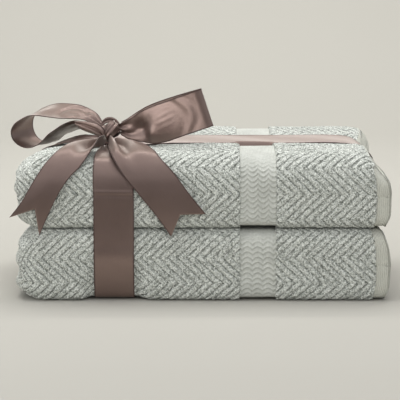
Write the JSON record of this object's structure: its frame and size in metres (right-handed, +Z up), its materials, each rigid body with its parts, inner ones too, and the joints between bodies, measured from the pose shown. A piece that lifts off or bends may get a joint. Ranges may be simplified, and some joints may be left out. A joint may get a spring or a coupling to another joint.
{
  "type": "bath towel set",
  "caption": "Stack of folded terry bath towels with a dobby border and flat hems, tied crosswise and lengthwise with a wide satin ribbon and a bow on top.",
  "frame": {"origin": "centre of the resting face, under the middle of the stack", "axes": "+Z up, +X along the towels towards their hemmed ends, -Y towards the folded front"},
  "size_m": [0.3746, 0.24, 0.1976],
  "materials": {
    "terry": "terry pile",
    "dobby": "flat woven",
    "hem": "flat woven",
    "satin": "satin"
  },
  "bodies": {
    "stack": {"lower_towel_outer_wrap": "terry", "lower_towel_tucked_panel": "terry", "lower_towel_dobby_border": "dobby", "lower_towel_end_hem": "hem", "upper_towel_outer_wrap": "terry", "upper_towel_tucked_panel": "terry", "upper_towel_dobby_border": "dobby", "upper_towel_end_hem": "hem", "ribbon_cross_band": "satin", "ribbon_length_band": "satin", "bow_knot": "satin"},
    "left_loop": {"bow_loop_left": "satin"},
    "right_loop": {"bow_loop_right": "satin"},
    "left_tail": {"bow_tail_left": "satin"},
    "right_tail": {"bow_tail_right": "satin"}
  },
  "joints": [
    {"name": "left_loop_lift", "type": "hinge", "parent": "stack", "child": "left_loop", "pos_m": [-0.092, 0.006, 0.15], "axis": [0.5879, 0.8089, 0], "range_deg": [0, 30], "stiffness_Nm_per_rad": 0.02},
    {"name": "right_loop_lift", "type": "hinge", "parent": "stack", "child": "right_loop", "pos_m": [-0.092, 0.006, 0.15], "axis": [-0.5879, -0.8089, 0], "range_deg": [-2, 25], "stiffness_Nm_per_rad": 0.02},
    {"name": "left_tail_lift", "type": "hinge", "parent": "stack", "child": "left_tail", "pos_m": [-0.092, 0.006, 0.15], "axis": [-1, 0, 0], "range_deg": [0, 30]},
    {"name": "right_tail_lift", "type": "hinge", "parent": "stack", "child": "right_tail", "pos_m": [-0.092, 0.006, 0.15], "axis": [-1, 0, 0], "range_deg": [0, 30]}
  ]
}
